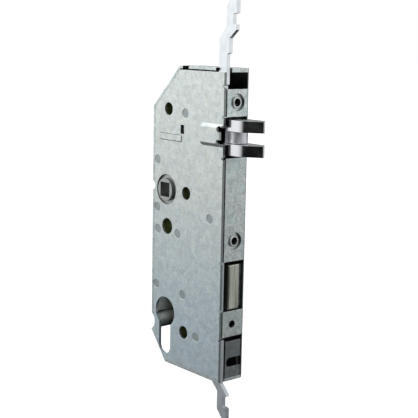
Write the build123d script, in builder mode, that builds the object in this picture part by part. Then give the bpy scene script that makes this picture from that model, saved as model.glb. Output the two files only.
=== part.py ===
from build123d import *
import math
import os

# Centre case of a multipoint mortise lock, with the parts that work inside it.
# Frame: X towards the door's edge, Y through the case's thickness, Z up. The origin is on the
# spindle's axis, halfway through the case. The cover is on the -Y side. All sizes in mm.

# ---- case ----------------------------------------------------------------------------------
THICKNESS = 17.5
SHEET = 1.5
OUTER = THICKNESS / 2
INNER = OUTER - SHEET
FRONT_X = 47.5
REAR_X = -12.4
TOP_Z = 68.6
BOTTOM_Z = -99.3
TOP_CORNER = (10.5, TOP_Z)
TOP_REAR_CORNER = (REAR_X, 45.8)
LOW_REAR_CORNER = (REAR_X, -83.1)
LOW_CORNER = (0.6, BOTTOM_Z)
BEND_RADIUS = 1.8
NO_RIM_Z = -82.0
NO_RIM_X = 2.2
REACH = 20.0
CUT = 1.0

# Height ranges where the front is open: upper recess, latch, deadbolt, lower recess.
FRONT_WINDOWS = [(57.7, 66.3), (22.0, 43.5), (-60.5, -33.3), (BOTTOM_Z + SHEET, -74.6)]
FRONT_CUT = 2 * SHEET + 0.2
TONGUE_NEAR_Y = -6.7
BAR_SLOT_DEPTH = 2.5
BAR_SLOT_PLAY = 0.2
BAR_SLOT_END = 1.1
# Middle and length along X of the two notches in the top rim; the second runs out at the front.
RIM_NOTCHES = [(15.6, 5.1), (44.6, 8.2)]
RIM_NOTCH_DEPTH = 5.0

# ---- interfaces ----------------------------------------------------------------------------
SQUARE = 8.1
HUB_HOLE_RADIUS = 8.5
CYLINDER_Z = -70.0
CYLINDER_RADIUS = 8.5
CYLINDER_LOW_Z = CYLINDER_Z + CYLINDER_RADIUS - 33.0
CYLINDER_SLOT = 10.2
PASSAGES = [(1.4, 44.8, 3.5), (17.5, 0.0, 3.55), (1.1, -20.6, 4.5), (16.8, -78.3, 3.6)]
REAR_NOTCHES = [(-13.0, 1.0, 2.8), (-14.9, -77.9, 5.3)]
SCREW_HEIGHTS = [50.8, -22.5]
LOW_SCREW_Z = -67.9
SCREW_RADIUS = 2.1
BUSH_Y = 0.6
BUSH_HOLE_RADIUS = 4.6

# ---- rivets --------------------------------------------------------------------------------
PILLARS = [(-8.0, -10.8), (-7.2, -23.2), (10.5, -23.5), (27.6, -78.5), (15.9, 43.3)]
SLIM_PILLARS = [(-8.2, -55.3), (-8.2, 16.0)]
KEY_AXIS = (15.7, -57.1)
PINION_AXIS = (37.6, -11.2)
PILLAR_RADIUS = 2.6
STUB_RADIUS = 1.8
HEAD_RADIUS = 2.6
HEAD_SUNK = 0.15
FLUSH_RIVETS = [*PILLARS, *SLIM_PILLARS, KEY_AXIS, PINION_AXIS]
POSTS = [(25.0, 46.5), (27.5, -20.0)]
PLATE_RIVETS = [(27.0, -40.5), (39.0, -54.5), (34.5, -83.0), (34.5, -93.0)]
PLATE_RIVET_RADIUS = 1.5

# ---- layers through the thickness ------------------------------------------------------------
BAR_NEAR = -7.15
BAR_FAR = -4.95
RACK_NEAR = -4.85
BOLT_NEAR = -2.85
BOLT_FAR = 4.75
CLEARANCE = 0.1
RUNNING_GAP = 0.05

# ---- gear teeth ----------------------------------------------------------------------------
PITCH = math.pi
PRESSURE = math.radians(25)
ADDENDUM = 0.8
DEDENDUM = 1.05
BACKLASH = 0.12
TOOTH = PITCH / 2 - BACKLASH
BOLT_GEAR_TEETH = 16
BAR_PINION_TEETH = 12
REVERSING_TEETH = 10

# ---- drive bars ----------------------------------------------------------------------------
BAR_REAR_X = 41.0
BAR_FRONT_X = 45.8
BAR_SHOULDER_X = 47.0
HOOK_NOTCH = 6.0

# ---- latch ---------------------------------------------------------------------------------
PRONG_LOW = (23.8, 29.7)
PRONG_HIGH = (36.3, 42.2)
LATCH_REAR_X = 35.3
ROLLER_AXIS = (49.0, 0.0)
ROLLER_RADIUS = 5.1
ROLLER_PIN_RADIUS = 1.5
ROLLER_RIM_ROUND = 0.4
ARM_LENGTH = 24.0
ARM_REST_TILT = math.radians(23.5)
ARM_TIP_RADIUS = 1.5
SPRING_Z = 34.4
HUB_RADIUS = 7.6
HUB_END_RADIUS = 6.3
HUB_NEAR_END = -9.75
HUB_FAR_END = 8.6

# ---- deadbolt ------------------------------------------------------------------------------
BOLT_BOTTOM = -59.8
BOLT_TOP = -35.4
BOLT_FRONT_X = 47.3
TAIL_TOP = -43.0
TAIL_BOTTOM = -52.8


def side(y):
    """Plane across the thickness at this Y, with X to the right and Z up; it extrudes to -Y."""
    return Plane.XZ.offset(-y)


def gear_points(teeth, tooth_angle):
    """Outline of an involute gear of module 1 with one tooth's middle at tooth_angle."""
    pitch_radius = teeth / 2
    base_radius = pitch_radius * math.cos(PRESSURE)
    tip_radius = pitch_radius + ADDENDUM
    root_radius = pitch_radius - DEDENDUM
    pitch_half_angle = TOOTH / (2 * pitch_radius) + math.tan(PRESSURE) - PRESSURE
    start = max(base_radius, root_radius)
    flank = []
    if root_radius < base_radius:
        flank.append((root_radius, pitch_half_angle))
    for step in range(5):
        radius = start + (tip_radius - start) * step / 4
        roll = math.acos(min(1.0, base_radius / radius))
        flank.append((radius, pitch_half_angle - math.tan(roll) + roll))
    points = []
    for tooth in range(teeth):
        middle = tooth_angle + tooth * 2 * math.pi / teeth
        rising = [(r, middle - half) for r, half in flank]
        falling = [(r, middle + half) for r, half in reversed(flank)]
        points += [(r * math.cos(a), r * math.sin(a)) for r, a in rising + falling]
    return points


def rack_tooth_points():
    """One rack tooth that points along +X from its pitch line, with its root sunk in the bar."""
    slope = math.tan(PRESSURE)
    sunk = DEDENDUM + 0.2
    root_half = TOOTH / 2 + DEDENDUM * slope
    tip_half = TOOTH / 2 - ADDENDUM * slope
    return [
        (-sunk, -root_half),
        (-DEDENDUM, -root_half),
        (ADDENDUM, -tip_half),
        (ADDENDUM, tip_half),
        (-DEDENDUM, root_half),
        (-sunk, root_half),
    ]


def rack_places(x, z, first, last):
    """Middles of the rack teeth beside a gap at (x, z): tooth 0 is the first one above it."""
    return [(x, z + PITCH * (tooth + 0.5)) for tooth in range(first, last)]


def export(part, name):
    part.label = name
    export_step(part, f"parts/{name}.step")


os.makedirs("parts", exist_ok=True)

# ---- case shell: tray folded from one sheet, with three tongues across its front -----------
CASE_OUTLINE = [
    (FRONT_X, BOTTOM_Z),
    (FRONT_X, TOP_Z),
    TOP_CORNER,
    TOP_REAR_CORNER,
    LOW_REAR_CORNER,
    LOW_CORNER,
]

with BuildPart() as case_shell:
    with BuildSketch(side(OUTER)):
        with BuildLine():
            Polyline(*CASE_OUTLINE, close=True)
        make_face()
    extrude(amount=THICKNESS)
    fillet(case_shell.faces().sort_by(Axis.Y)[-1].outer_wire().edges(), BEND_RADIUS)
    with BuildSketch(side(INNER)):
        with BuildLine():
            Polyline(*CASE_OUTLINE, close=True)
        make_face()
        offset(amount=-SHEET, mode=Mode.REPLACE)
    extrude(amount=INNER + OUTER + CUT, mode=Mode.SUBTRACT)
    # the front wall is open between the tongues, and its near edge makes room for the cover
    with BuildSketch(side(INNER)):
        for low, high in FRONT_WINDOWS:
            with Locations((FRONT_X, (low + high) / 2)):
                Rectangle(FRONT_CUT, high - low)
    extrude(amount=INNER + OUTER + CUT, mode=Mode.SUBTRACT)
    with BuildSketch(side(TONGUE_NEAR_Y)):
        with Locations((FRONT_X, (TOP_Z + BOTTOM_Z) / 2)):
            Rectangle(FRONT_CUT, TOP_Z - BOTTOM_Z - 2 * SHEET)
    extrude(amount=TONGUE_NEAR_Y + OUTER + CUT, mode=Mode.SUBTRACT)
    # the low rear corner has no rim, so that the cylinder's body can pass
    no_rim_rear_x = REAR_X - CUT
    no_rim_low_z = BOTTOM_Z - CUT
    with BuildSketch(side(INNER)):
        with Locations(((no_rim_rear_x + NO_RIM_X) / 2, (no_rim_low_z + NO_RIM_Z) / 2)):
            Rectangle(NO_RIM_X - no_rim_rear_x, NO_RIM_Z - no_rim_low_z)
    extrude(amount=INNER + OUTER + CUT, mode=Mode.SUBTRACT)
    # the bars leave through a slot in the top and one in the bottom, open to the front
    for end_z in (TOP_Z, BOTTOM_Z):
        with BuildSketch(side(BAR_FAR + BAR_SLOT_PLAY)):
            with Locations(((BAR_REAR_X + FRONT_X) / 2, end_z)):
                Rectangle(FRONT_X - BAR_REAR_X + 2 * BAR_SLOT_END, 2 * BAR_SLOT_DEPTH)
        extrude(amount=BAR_FAR - BAR_NEAR + 2 * BAR_SLOT_PLAY, mode=Mode.SUBTRACT)
    # two notches in the top rim, open towards the cover
    with BuildSketch(Plane.XY.offset(TOP_Z - SHEET - CUT)):
        for notch_middle, notch_length in RIM_NOTCHES:
            with Locations((notch_middle, -OUTER)):
                Rectangle(notch_length, 2 * RIM_NOTCH_DEPTH)
    extrude(amount=SHEET + 2 * CUT, mode=Mode.SUBTRACT)
    # holes through the far side plate
    with BuildSketch(side(OUTER + CUT)):
        Circle(HUB_HOLE_RADIUS)
        for hole_x, hole_z, hole_radius in PASSAGES:
            with Locations((hole_x, hole_z)):
                Circle(hole_radius)
        for notch_x, notch_z, notch_radius in REAR_NOTCHES:
            with Locations((notch_x, notch_z)):
                Circle(notch_radius)
        with Locations(*FLUSH_RIVETS, *POSTS):
            Circle(STUB_RADIUS)
        with Locations(*PLATE_RIVETS):
            Circle(PLATE_RIVET_RADIUS)
        with Locations((0, CYLINDER_Z)):
            Circle(CYLINDER_RADIUS)
        with Locations((0, (CYLINDER_Z + CYLINDER_LOW_Z) / 2)):
            SlotOverall(CYLINDER_Z - CYLINDER_LOW_Z, CYLINDER_SLOT, rotation=90)
    extrude(amount=SHEET + 2 * CUT, mode=Mode.SUBTRACT)
    for notch_x, notch_z, notch_radius in REAR_NOTCHES:
        with BuildSketch(side(OUTER + CUT)):
            with Locations((notch_x, notch_z)):
                Circle(notch_radius)
        extrude(amount=THICKNESS + 2 * CUT, mode=Mode.SUBTRACT)
    # behind the low notch the rear wall goes on as a pressed half-round groove
    groove_x, groove_z, groove_radius = REAR_NOTCHES[1]
    with BuildSketch(side(INNER)):
        with Locations((groove_x, groove_z)):
            Circle(groove_radius + SHEET)
            Circle(groove_radius, mode=Mode.SUBTRACT)
        with Locations((REAR_X + REACH / 2, NO_RIM_Z + REACH / 2)):
            Rectangle(REACH, REACH, mode=Mode.INTERSECT)
    extrude(amount=2 * INNER - CLEARANCE)
    # countersinks for the flush rivet heads
    with BuildSketch(side(OUTER)):
        with Locations(*FLUSH_RIVETS, *POSTS):
            Circle(HEAD_RADIUS)
    extrude(amount=HEAD_RADIUS - STUB_RADIUS, taper=45, mode=Mode.SUBTRACT)
    # front tongues: two bush holes and one plain screw hole
    with BuildSketch(Plane.YZ.offset(FRONT_X + CUT)):
        with Locations(*[(BUSH_Y, height) for height in SCREW_HEIGHTS]):
            Circle(BUSH_HOLE_RADIUS)
        with Locations((0, LOW_SCREW_Z)):
            Circle(SCREW_RADIUS)
    extrude(amount=-(SHEET + 2 * CUT), mode=Mode.SUBTRACT)

export(case_shell.part, "case_shell")

# ---- cover plate: lies inside the rim, and carries the pressed features ---------------------
COVER_GAP = SHEET + CLEARANCE
COVER_TOP_GAP = 2.2
COVER_FRONT_X = FRONT_X - 0.2
HALF_REAR_CUT = math.radians(45 / 2)
# The upper rear corner is cut at 45 degrees. Where the shell has no rim, the cover reaches out
# to the case's outline.
COVER_OUTLINE = [
    (COVER_FRONT_X, BOTTOM_Z + COVER_GAP),
    (COVER_FRONT_X, TOP_Z - COVER_TOP_GAP),
    (TOP_CORNER[0] + math.sqrt(2) * COVER_GAP - COVER_TOP_GAP, TOP_Z - COVER_TOP_GAP),
    (REAR_X + COVER_GAP, TOP_REAR_CORNER[1] - COVER_GAP * math.tan(HALF_REAR_CUT)),
    (REAR_X + COVER_GAP, NO_RIM_Z - CLEARANCE),
    (REAR_X, NO_RIM_Z - CLEARANCE),
    LOW_REAR_CORNER,
    LOW_CORNER,
    (NO_RIM_X - CLEARANCE, BOTTOM_Z),
    (NO_RIM_X - CLEARANCE, BOTTOM_Z + COVER_GAP),
]
BUMP_LOW = 27.8
BUMP_HIGH = 39.6
BUMP_REAR_X = 28.1
BUMP_HEIGHT = 1.4
BUMP_SLOPE = 50
BUMP_CORNER = 3.0
BUMP_ROUND = 1.0
BUMP_HOLLOW_INSET = 1.6
BUMP_MOUTH_X = 45.4
MOUTH_HOLES = [(44.9, 37.2), (44.5, 30.1)]
MOUTH_HOLE_RADIUS = 1.6
STRIP_LENGTH = 19.7
STRIP_WIDTH = 3.8
STRIP_CENTRE = (3.15, 29.4)
STRIP_RISE = 0.3
STRIP_CORNER = 0.6
STRIP_SLOPE = 30
SLIT = 0.2
TAB_X = 11.9
TAB_LOW = 32.0
TAB_HIGH = 36.8
TAB_REACH = 4.2
GUIDE_HOLE_RADIUS = 1.3
NICK_HEIGHTS = [59.2, 43.2, 21.8, -33.7, -59.8, -76.0]
NICK_DEPTH = 1.2
NICK_WIDTH = 1.3

with BuildPart() as cover_plate:
    with BuildSketch(side(-INNER)):
        with BuildLine():
            Polyline(*COVER_OUTLINE, close=True)
        make_face()
    extrude(amount=SHEET)
    # embossed bump beside the latch, open at the front edge
    bump_middle = (BUMP_LOW + BUMP_HIGH) / 2
    with BuildSketch(side(-OUTER)) as bump:
        with Locations(((BUMP_REAR_X + COVER_FRONT_X) / 2, bump_middle)):
            Rectangle(COVER_FRONT_X - BUMP_REAR_X, BUMP_HIGH - BUMP_LOW)
        fillet(bump.vertices().group_by(Axis.X)[0], BUMP_CORNER)
    extrude(amount=BUMP_HEIGHT, taper=BUMP_SLOPE)
    fillet(cover_plate.faces().sort_by(Axis.Y)[0].edges().group_by(Axis.X)[:-1], BUMP_ROUND)
    hollow_rear_x = BUMP_REAR_X + BUMP_HOLLOW_INSET
    with BuildSketch(side(-INNER)) as hollow:
        with Locations(((hollow_rear_x + FRONT_X + CUT) / 2, bump_middle)):
            Rectangle(FRONT_X + CUT - hollow_rear_x, BUMP_HIGH - BUMP_LOW - 2 * BUMP_HOLLOW_INSET)
        fillet(hollow.vertices().group_by(Axis.X)[0], BUMP_CORNER - BUMP_HOLLOW_INSET)
    extrude(amount=BUMP_HEIGHT, mode=Mode.SUBTRACT)
    # the bump's mouth is cut back between two round relief holes
    mouth_high = MOUTH_HOLES[0][1]
    mouth_low = MOUTH_HOLES[1][1]
    with BuildSketch(side(-INNER + CUT)):
        with Locations(*MOUTH_HOLES):
            Circle(MOUTH_HOLE_RADIUS)
        with Locations(((BUMP_MOUTH_X + FRONT_X + CUT) / 2, (mouth_low + mouth_high) / 2)):
            Rectangle(FRONT_X + CUT - BUMP_MOUTH_X, mouth_high - mouth_low + MOUTH_HOLE_RADIUS)
    extrude(amount=SHEET + BUMP_HEIGHT + 2 * CUT, mode=Mode.SUBTRACT)
    # pressed strip: two slits and a slit across its front end, raised a little
    with BuildSketch(side(-OUTER)):
        with Locations(STRIP_CENTRE):
            RectangleRounded(STRIP_LENGTH - 2 * SLIT, STRIP_WIDTH - 2 * SLIT, STRIP_CORNER)
    extrude(amount=STRIP_RISE, taper=STRIP_SLOPE)
    with BuildSketch(side(-INNER + CUT)):
        for edge in (-1, 1):
            slit_z = STRIP_CENTRE[1] + edge * (STRIP_WIDTH - SLIT) / 2
            with Locations((STRIP_CENTRE[0], slit_z)):
                Rectangle(STRIP_LENGTH, SLIT)
        with Locations((STRIP_CENTRE[0] + STRIP_LENGTH / 2, STRIP_CENTRE[1])):
            Rectangle(SLIT, STRIP_WIDTH)
        # window that the spring tab is bent out of
        with Locations((TAB_X + SHEET, (TAB_LOW + TAB_HIGH) / 2)):
            Rectangle(2 * SHEET, TAB_HIGH - TAB_LOW)
        # relief nicks in the front edge, level with the ends of the shell's tongues
        with Locations(*[(COVER_FRONT_X, height) for height in NICK_HEIGHTS]):
            Rectangle(2 * NICK_DEPTH, NICK_WIDTH)
        Circle(HUB_HOLE_RADIUS)
        for hole_x, hole_z, hole_radius in PASSAGES:
            with Locations((hole_x, hole_z)):
                Circle(hole_radius)
        for notch_x, notch_z, notch_radius in REAR_NOTCHES:
            with Locations((notch_x, notch_z)):
                Circle(notch_radius)
        with Locations(*FLUSH_RIVETS):
            Circle(STUB_RADIUS)
        with Locations((0, CYLINDER_Z)):
            Circle(CYLINDER_RADIUS)
        with Locations((0, (CYLINDER_Z + CYLINDER_LOW_Z) / 2)):
            SlotOverall(CYLINDER_Z - CYLINDER_LOW_Z, CYLINDER_SLOT, rotation=90)
    extrude(amount=SHEET + 2 * CUT, mode=Mode.SUBTRACT)
    with BuildSketch(Plane.XZ.offset(OUTER)):
        with Locations(*FLUSH_RIVETS):
            Circle(HEAD_RADIUS)
    extrude(amount=-(HEAD_RADIUS - STUB_RADIUS), taper=45, mode=Mode.SUBTRACT)
    # spring tab, bent inwards, with the guide rod's hole
    tab_near_y = -OUTER + SHEET / 2
    with BuildSketch(Plane.YZ.offset(TAB_X)):
        with Locations(((tab_near_y + TAB_REACH) / 2, (TAB_LOW + TAB_HIGH) / 2)):
            Rectangle(TAB_REACH - tab_near_y, TAB_HIGH - TAB_LOW)
    extrude(amount=-SHEET)
    with BuildSketch(Plane.YZ.offset(TAB_X + CUT)):
        with Locations((0, SPRING_Z)):
            Circle(GUIDE_HOLE_RADIUS)
    extrude(amount=-(SHEET + 2 * CUT), mode=Mode.SUBTRACT)

export(cover_plate.part, "cover_plate")

# ---- pillars and axles: turned, riveted flush in the cover and in the shell -----------------


def flush_stub_heads(centres):
    """Stubs through both side plates, spread to flush heads. Call inside a BuildPart."""
    for face_y in (OUTER, -OUTER):
        facing = Plane(origin=(0, face_y, 0), x_dir=(1, 0, 0), z_dir=(0, -1, 0))
        inwards = 1 if face_y > 0 else -1
        sunk = facing.offset(inwards * HEAD_SUNK)
        with BuildSketch(sunk) as stub:
            with Locations(*centres):
                Circle(STUB_RADIUS)
        extrude(stub.sketch, amount=inwards * (SHEET - HEAD_SUNK))
        with BuildSketch(sunk) as head:
            with Locations(*centres):
                Circle(HEAD_RADIUS - HEAD_SUNK)
        extrude(head.sketch, amount=inwards * (HEAD_RADIUS - HEAD_SUNK - STUB_RADIUS), taper=45)


with BuildPart() as rivet_pillars:
    with BuildSketch(side(INNER)):
        with Locations(*PILLARS):
            Circle(PILLAR_RADIUS)
        with Locations(*SLIM_PILLARS):
            Circle(STUB_RADIUS)
    extrude(amount=2 * INNER)
    flush_stub_heads([*PILLARS, *SLIM_PILLARS])

export(rivet_pillars.part, "rivet_pillars")

# Tubes that line the passages between the plates, so that the handle's screws pass freely.
SLEEVE_WALL = 0.5

with BuildPart() as passage_sleeves:
    with BuildSketch(side(INNER)):
        for hole_x, hole_z, hole_radius in PASSAGES:
            with Locations((hole_x, hole_z)):
                Circle(hole_radius + SLEEVE_WALL)
                Circle(hole_radius, mode=Mode.SUBTRACT)
    extrude(amount=2 * INNER)

export(passage_sleeves.part, "passage_sleeves")

JOURNAL_RADIUS = 2.0

with BuildPart() as key_axle:
    with BuildSketch(side(INNER)):
        with Locations(KEY_AXIS):
            Circle(PILLAR_RADIUS)
    extrude(amount=INNER - BOLT_NEAR)
    with BuildSketch(side(BOLT_NEAR)):
        with Locations(KEY_AXIS):
            Circle(JOURNAL_RADIUS)
    extrude(amount=BOLT_NEAR + INNER)
    flush_stub_heads([KEY_AXIS])

export(key_axle.part, "key_axle")

with BuildPart() as pinion_axle:
    with BuildSketch(side(INNER)):
        with Locations(PINION_AXIS):
            Circle(JOURNAL_RADIUS)
    extrude(amount=2 * INNER)
    flush_stub_heads([PINION_AXIS])

export(pinion_axle.part, "pinion_axle")

SPACER_RADIUS = 3.4

with BuildPart() as pinion_spacer:
    with BuildSketch(side(INNER)):
        with Locations(PINION_AXIS):
            Circle(SPACER_RADIUS)
            Circle(JOURNAL_RADIUS + RUNNING_GAP, mode=Mode.SUBTRACT)
    extrude(amount=INNER - RACK_NEAR)

export(pinion_spacer.part, "pinion_spacer")

with BuildPart() as bar_guide_posts:
    with BuildSketch(side(INNER)):
        with Locations(*POSTS):
            Circle(PILLAR_RADIUS)
    extrude(amount=INNER - RACK_NEAR)
    with BuildSketch(side(OUTER - HEAD_SUNK)):
        with Locations(*POSTS):
            Circle(STUB_RADIUS)
    extrude(amount=SHEET - HEAD_SUNK)
    with BuildSketch(side(OUTER - HEAD_SUNK)):
        with Locations(*POSTS):
            Circle(HEAD_RADIUS - HEAD_SUNK)
    extrude(amount=HEAD_RADIUS - HEAD_SUNK - STUB_RADIUS, taper=45)

export(bar_guide_posts.part, "bar_guide_posts")


# ---- screw bushes for the faceplate, behind the tongues --------------------------------------
BUSH_BODY_RADIUS = 5.2
BUSH_BODY_LENGTH = 4.0
BUSH_RING_RADIUS = 3.1
BUSH_RING_CHAMFER = 0.3
BUSH_RING_X = FRONT_X - 0.2


def screw_bush(height):
    """Turned bush: a body behind the tongue and a raised ring inside the tongue's hole."""
    with BuildPart() as bush:
        with BuildSketch(Plane.YZ.offset(FRONT_X - SHEET)):
            with Locations((BUSH_Y, height)):
                Circle(BUSH_BODY_RADIUS)
        extrude(amount=-BUSH_BODY_LENGTH)
        with BuildSketch(Plane.YZ.offset(FRONT_X - SHEET)):
            with Locations((BUSH_Y, height)):
                Circle(BUSH_RING_RADIUS)
        extrude(amount=BUSH_RING_X - FRONT_X + SHEET)
        chamfer(bush.faces().sort_by(Axis.X)[-1].edges(), BUSH_RING_CHAMFER)
        with BuildSketch(Plane.YZ.offset(FRONT_X + CUT)):
            with Locations((BUSH_Y, height)):
                Circle(SCREW_RADIUS)
        extrude(amount=-REACH, mode=Mode.SUBTRACT)
    return bush.part


export(screw_bush(SCREW_HEIGHTS[0]), "upper_screw_bush")
export(screw_bush(SCREW_HEIGHTS[1]), "lower_screw_bush")


# ---- follower and its bushes ----------------------------------------------------------------
BUSH_FLANGE = 0.6
BUSH_FLANGE_RADIUS = 9.6
BUSH_COLLAR = 0.2


def hub_bush(y_sign):
    """Flanged ring behind the plate that the follower's hub end turns in, with a low collar."""
    with BuildPart() as bush:
        with BuildSketch(Plane.XZ.offset(INNER - BUSH_FLANGE)):
            Circle(BUSH_FLANGE_RADIUS)
            Circle(HUB_END_RADIUS + RUNNING_GAP, mode=Mode.SUBTRACT)
        extrude(amount=BUSH_FLANGE)
        with BuildSketch(Plane.XZ.offset(INNER)):
            Circle(HUB_HOLE_RADIUS)
            Circle(HUB_END_RADIUS + RUNNING_GAP, mode=Mode.SUBTRACT)
        extrude(amount=BUSH_COLLAR)
        if y_sign > 0:
            mirror(about=Plane.XZ, mode=Mode.REPLACE)
    return bush.part


export(hub_bush(-1), "near_hub_bush")
export(hub_bush(1), "far_hub_bush")

ARM_HALF_THICK = 2.0
ARM_ROOT_RADIUS = 1.6
ARM_NECK_RADIUS = 0.9
ARM_NECK_LENGTH = ARM_LENGTH - 2.2
STOP_NOSE = (-3.6, -10.6)
STOP_NOSE_RADIUS = 1.5
STOP_ROOT_RADIUS = 4.0
SPRING_ARM_FAR = 6.4
SPRING_ARM_THICK = 4.0
SPRING_ARM_RADIUS = 11.5
SPRING_ARM_ANGLE = math.radians(-25)
SPRING_ARM_TIP_RADIUS = 1.6
SPRING_ARM_TIP = (
    SPRING_ARM_RADIUS * math.cos(SPRING_ARM_ANGLE),
    SPRING_ARM_RADIUS * math.sin(SPRING_ARM_ANGLE),
)


def along_arm(distance):
    """Point on the long arm's middle line, at this distance from the hub's axis."""
    return (distance * math.sin(ARM_REST_TILT), distance * math.cos(ARM_REST_TILT))


with BuildPart() as follower:
    with BuildSketch(side(HUB_FAR_END)):
        Circle(HUB_END_RADIUS)
    extrude(amount=HUB_FAR_END - HUB_NEAR_END)
    with BuildSketch(side(INNER - BUSH_FLANGE - CLEARANCE)):
        Circle(HUB_RADIUS)
    extrude(amount=2 * (INNER - BUSH_FLANGE - CLEARANCE))
    # long arm that pulls the latch back: a slim neck with a round head
    with BuildSketch(side(ARM_HALF_THICK)):
        with Locations(along_arm(HUB_RADIUS)):
            Circle(ARM_ROOT_RADIUS)
        with Locations(along_arm(ARM_NECK_LENGTH)):
            Circle(ARM_NECK_RADIUS)
        make_hull()
    extrude(amount=2 * ARM_HALF_THICK)
    with BuildSketch(side(ARM_HALF_THICK)):
        with Locations(along_arm(ARM_NECK_LENGTH)):
            Circle(ARM_NECK_RADIUS)
        with Locations(along_arm(ARM_LENGTH)):
            Circle(ARM_NECK_RADIUS)
        make_hull()
        with Locations(along_arm(ARM_LENGTH)):
            Circle(ARM_TIP_RADIUS)
    extrude(amount=2 * ARM_HALF_THICK)
    # nose that rests against a pillar
    with BuildSketch(side(ARM_HALF_THICK)):
        Circle(STOP_ROOT_RADIUS)
        with Locations(STOP_NOSE):
            Circle(STOP_NOSE_RADIUS)
        make_hull()
    extrude(amount=2 * ARM_HALF_THICK)
    # short arm that the return spring presses on
    with BuildSketch(side(SPRING_ARM_FAR)):
        Circle(SPRING_ARM_TIP_RADIUS)
        with Locations(SPRING_ARM_TIP):
            Circle(SPRING_ARM_TIP_RADIUS)
        make_hull()
    extrude(amount=SPRING_ARM_THICK)
    with BuildSketch(side(HUB_FAR_END + CUT)):
        Rectangle(SQUARE, SQUARE)
    extrude(amount=HUB_FAR_END - HUB_NEAR_END + 2 * CUT, mode=Mode.SUBTRACT)

export(follower.part, "follower")

# ---- springs ---------------------------------------------------------------------------------
RETURN_SPRING_X = 10.8
RETURN_SPRING_Y = 4.5
RETURN_SPRING_LOW = SPRING_ARM_TIP[1] + 2.9
RETURN_SPRING_HIGH = 16.8
RETURN_COIL_RADIUS = 1.95
RETURN_COIL_PITCH = 2.0
RETURN_WIRE_RADIUS = 0.35
RETURN_COIL_MARGIN = 0.4
SEAT_LENGTH = 7.0
SEAT_Z = 18.1
SEAT_THICK = 2.4
SEAT_REACH = 5.0
SEAT_CORNER = 0.6
SEAT_FOOT_Z = 19.6
SEAT_FOOT_HEIGHT = 4.6
SEAT_FOOT_THICK = 1.2

with BuildPart() as follower_spring:
    with BuildLine() as return_coil:
        Helix(
            pitch=RETURN_COIL_PITCH,
            height=RETURN_SPRING_HIGH - RETURN_SPRING_LOW - 2 * RETURN_COIL_MARGIN,
            radius=RETURN_COIL_RADIUS,
            center=(RETURN_SPRING_X, RETURN_SPRING_Y, RETURN_SPRING_LOW + RETURN_COIL_MARGIN),
        )
    with BuildSketch(Plane(origin=return_coil.line @ 0, z_dir=return_coil.line % 0)):
        Circle(RETURN_WIRE_RADIUS)
    sweep(is_frenet=True)

export(follower_spring.part, "follower_spring")

with BuildPart() as spring_seat:
    with BuildSketch(side(INNER)):
        with Locations((RETURN_SPRING_X, SEAT_Z)):
            RectangleRounded(SEAT_LENGTH, SEAT_THICK, SEAT_CORNER)
    extrude(amount=SEAT_REACH)
    with BuildSketch(side(INNER)):
        with Locations((RETURN_SPRING_X, SEAT_FOOT_Z)):
            Rectangle(SEAT_LENGTH, SEAT_FOOT_HEIGHT)
    extrude(amount=SEAT_FOOT_THICK)

export(spring_seat.part, "spring_seat")

LATCH_COIL_RADIUS = 3.1
LATCH_COIL_PITCH = 2.9
LATCH_WIRE_RADIUS = 0.4
LATCH_COIL_MARGIN = 0.5

with BuildPart() as latch_spring:
    with BuildLine() as latch_coil:
        Helix(
            pitch=LATCH_COIL_PITCH,
            height=LATCH_REAR_X - TAB_X - 2 * LATCH_COIL_MARGIN,
            radius=LATCH_COIL_RADIUS,
            center=(TAB_X + LATCH_COIL_MARGIN, 0, SPRING_Z),
            direction=(1, 0, 0),
        )
    with BuildSketch(Plane(origin=latch_coil.line @ 0, z_dir=latch_coil.line % 0)):
        Circle(LATCH_WIRE_RADIUS)
    sweep(is_frenet=True)

export(latch_spring.part, "latch_spring")

# ---- latch: fork with two bevelled prongs, a roller between them, and a tail -----------------
FORK_NEAR = -6.1
FORK_FAR = 6.2
FORK_REAR_NEAR = -4.7
FORK_STEP_X = 42.45
BEVEL_START = (57.0, FORK_NEAR)
BEVEL_TIP = (67.6, 1.6)
NOSE_END = (62.6, FORK_FAR)
TAIL_NEAR = 2.2
TAIL_FAR = 4.2
TONGUE_LOW = 24.5
TONGUE_HIGH = 28.5
TONGUE_X = 41.0
FORK_CORNER = 2.2
BEVEL_START_ROUND = 9.0
BEVEL_TIP_ROUND = 0.8
NOSE_ROUND = 3.0
ROLLER_PLAY = 0.3
POCKET_LENGTH = 3.2
ROD_RADIUS = 1.2
ROD_DEPTH = 4.0
ROD_REAR_X = 8.8
ROD_CHAMFER = 0.4

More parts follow.
